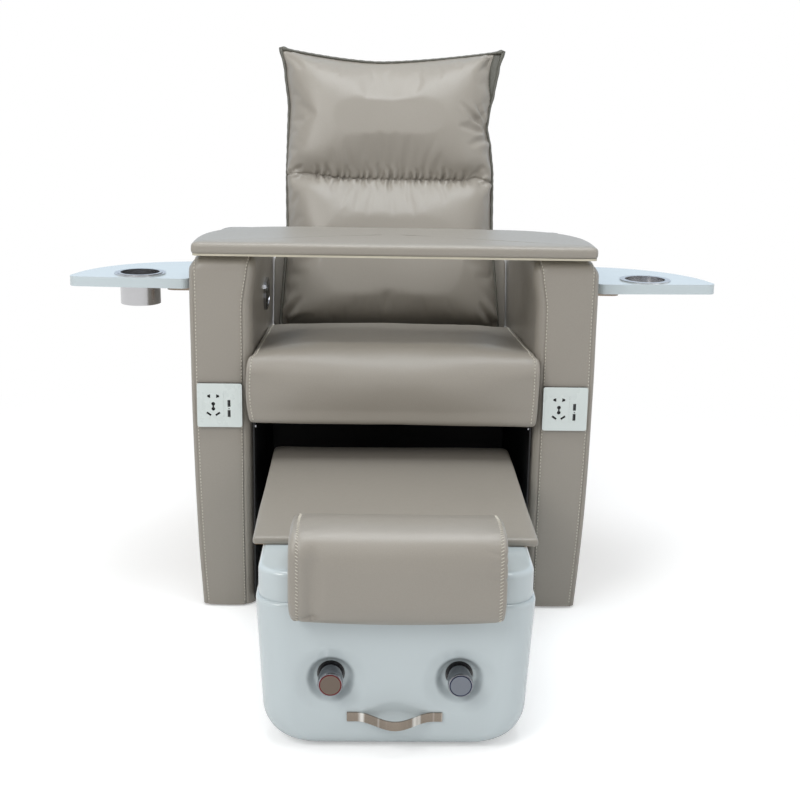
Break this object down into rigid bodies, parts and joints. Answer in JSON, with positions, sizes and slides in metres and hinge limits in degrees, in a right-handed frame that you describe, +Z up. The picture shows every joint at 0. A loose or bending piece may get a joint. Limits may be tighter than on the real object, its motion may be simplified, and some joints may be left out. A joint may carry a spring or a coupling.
{
  "type": "pedicure chair",
  "caption": "Upholstered pedicure chair with a reclining back, pull-out foot basin, lap board, and swinging side trays.",
  "frame": {"origin": "on the floor, at the middle of the chair's outer box", "axes": "+Z up, -Y the way the chair faces, +X to the right as seen from the front"},
  "size_m": [1.256, 1.3638, 1.089],
  "materials": {
    "leather": "satin",
    "cream_panel": "satin",
    "gloss_white": "gloss",
    "outlet_white": "satin",
    "brushed_steel": "satin",
    "chrome": "polished",
    "black_metal": "satin",
    "black_panel": "matte",
    "switch_black": "gloss",
    "rubber": "matte",
    "wood": "matte",
    "copper_pipe": "satin"
  },
  "bodies": {
    "chair": {"left_arm": "leather", "right_arm": "leather", "left_arm_panel": "leather", "right_arm_panel": "leather", "arm_glides": "black_panel", "base_frame": "black_metal", "seat_board": "wood", "seat_cushion": "leather", "bay_sides": "black_panel", "bay_ceiling": "black_panel", "bay_back": "black_panel", "bay_screws": "chrome", "left_outlet_plate": "outlet_white", "right_outlet_plate": "outlet_white", "left_outlet_insert": "outlet_white", "right_outlet_insert": "outlet_white", "usb_ports": "outlet_white", "switch_bezel": "chrome", "switch_face": "switch_black", "rear_panel": "black_panel", "mains_inlet": "black_panel", "control_box": "black_panel", "hinge_pins": "brushed_steel", "actuator_housing": "black_panel", "left_tray_bracket": "brushed_steel", "right_tray_bracket": "brushed_steel"},
    "recline_switch": {"recline_button": "switch_black"},
    "upright_switch": {"upright_button": "switch_black"},
    "backrest": {"backrest_frame": "black_metal", "backrest_shell": "leather", "back_cushion": "leather"},
    "drive_rod": {"actuator_rod": "brushed_steel"},
    "lap_board": {"board_base": "cream_panel", "board_pad": "leather"},
    "left_side_tray": {"left_tray": "gloss_white", "left_tray_ring": "brushed_steel"},
    "right_side_tray": {"right_tray": "gloss_white", "right_tray_ring": "brushed_steel"},
    "steel_cup": {"cup": "brushed_steel"},
    "foot_basin": {"basin_casing": "gloss_white", "basin_tub": "gloss_white", "basin_base": "black_panel", "wheel_forks": "brushed_steel", "drain": "chrome", "valves": "chrome", "water_pipes": "copper_pipe", "spout": "chrome", "pull": "brushed_steel", "footrest_socket": "chrome"},
    "front_left_roller": {"front_left_wheel": "rubber"},
    "front_right_roller": {"front_right_wheel": "rubber"},
    "rear_left_roller": {"rear_left_wheel": "rubber"},
    "rear_right_roller": {"rear_right_wheel": "rubber"},
    "plug": {"drain_plug": "rubber"},
    "hot_tap": {"hot_knob": "chrome"},
    "cold_tap": {"cold_knob": "chrome"},
    "basin_lid": {"lid_board": "wood", "lid_cover": "leather"},
    "footrest": {"footrest_bracket": "black_metal", "footrest_pad": "leather"}
  },
  "joints": [
    {"name": "backrest_recline", "type": "hinge", "parent": "chair", "child": "backrest", "pos_m": [0, 0.44413, 0.44], "axis": [-1, 0, 0], "range_deg": [0, 45]},
    {"name": "drive_stroke", "type": "slide", "parent": "chair", "child": "drive_rod", "axis": [0, 0, -1], "range_m": [0, 0.0852]},
    {"name": "lap_board_lift", "type": "slide", "parent": "chair", "child": "lap_board", "axis": [0, 0, 1], "range_m": [0, 0.15]},
    {"name": "left_tray_swing", "type": "hinge", "parent": "chair", "child": "left_side_tray", "pos_m": [-0.424, 0.01213, 0.636], "axis": [0, 0, 1], "range_deg": [0, 90]},
    {"name": "right_tray_swing", "type": "hinge", "parent": "chair", "child": "right_side_tray", "pos_m": [0.424, 0.01213, 0.636], "axis": [0, 0, -1], "range_deg": [0, 90]},
    {"name": "cup_lift", "type": "slide", "parent": "left_side_tray", "child": "steel_cup", "axis": [0, 0, 1], "range_m": [0, 0.12]},
    {"name": "basin_pull_out", "type": "slide", "parent": "chair", "child": "foot_basin", "axis": [0, 1, 0], "range_m": [0, 0.4]},
    {"name": "front_left_wheel_roll", "type": "hinge", "parent": "foot_basin", "child": "front_left_roller", "pos_m": [-0.12, -0.57487, 0.018], "axis": [1, 0, 0], "continuous": true},
    {"name": "front_right_wheel_roll", "type": "hinge", "parent": "foot_basin", "child": "front_right_roller", "pos_m": [0.12, -0.57487, 0.018], "axis": [1, 0, 0], "continuous": true},
    {"name": "rear_left_wheel_roll", "type": "hinge", "parent": "foot_basin", "child": "rear_left_roller", "pos_m": [-0.12, -0.06787, 0.018], "axis": [1, 0, 0], "continuous": true},
    {"name": "rear_right_wheel_roll", "type": "hinge", "parent": "foot_basin", "child": "rear_right_roller", "pos_m": [0.12, -0.06787, 0.018], "axis": [1, 0, 0], "continuous": true},
    {"name": "lid_lift", "type": "slide", "parent": "foot_basin", "child": "basin_lid", "axis": [0, 0, 1], "range_m": [0, 0.06]},
    {"name": "plug_lift", "type": "slide", "parent": "foot_basin", "child": "plug", "axis": [0, 0, 1], "range_m": [0, 0.02]},
    {"name": "footrest_raise", "type": "slide", "parent": "foot_basin", "child": "footrest", "axis": [0, 0, 1], "range_m": [0, 0.08]},
    {"name": "hot_tap_turn", "type": "hinge", "parent": "foot_basin", "child": "hot_tap", "pos_m": [-0.102, -0.63687, 0.125], "axis": [0, -1, 0], "range_deg": [0, 90]},
    {"name": "cold_tap_turn", "type": "hinge", "parent": "foot_basin", "child": "cold_tap", "pos_m": [0.102, -0.63687, 0.125], "axis": [0, 1, 0], "range_deg": [0, 90]},
    {"name": "recline_press", "type": "slide", "parent": "chair", "child": "recline_switch", "axis": [-1, 0, 0], "range_m": [0, 0.0015], "stiffness_N_per_m": 600, "springref_m": -0.001},
    {"name": "upright_press", "type": "slide", "parent": "chair", "child": "upright_switch", "axis": [-1, 0, 0], "range_m": [0, 0.0015], "stiffness_N_per_m": 600, "springref_m": -0.001}
  ],
  "couplings": [
    {"joint": "drive_stroke", "follows": "backrest_recline", "m_per_rad": 0.10719}
  ]
}
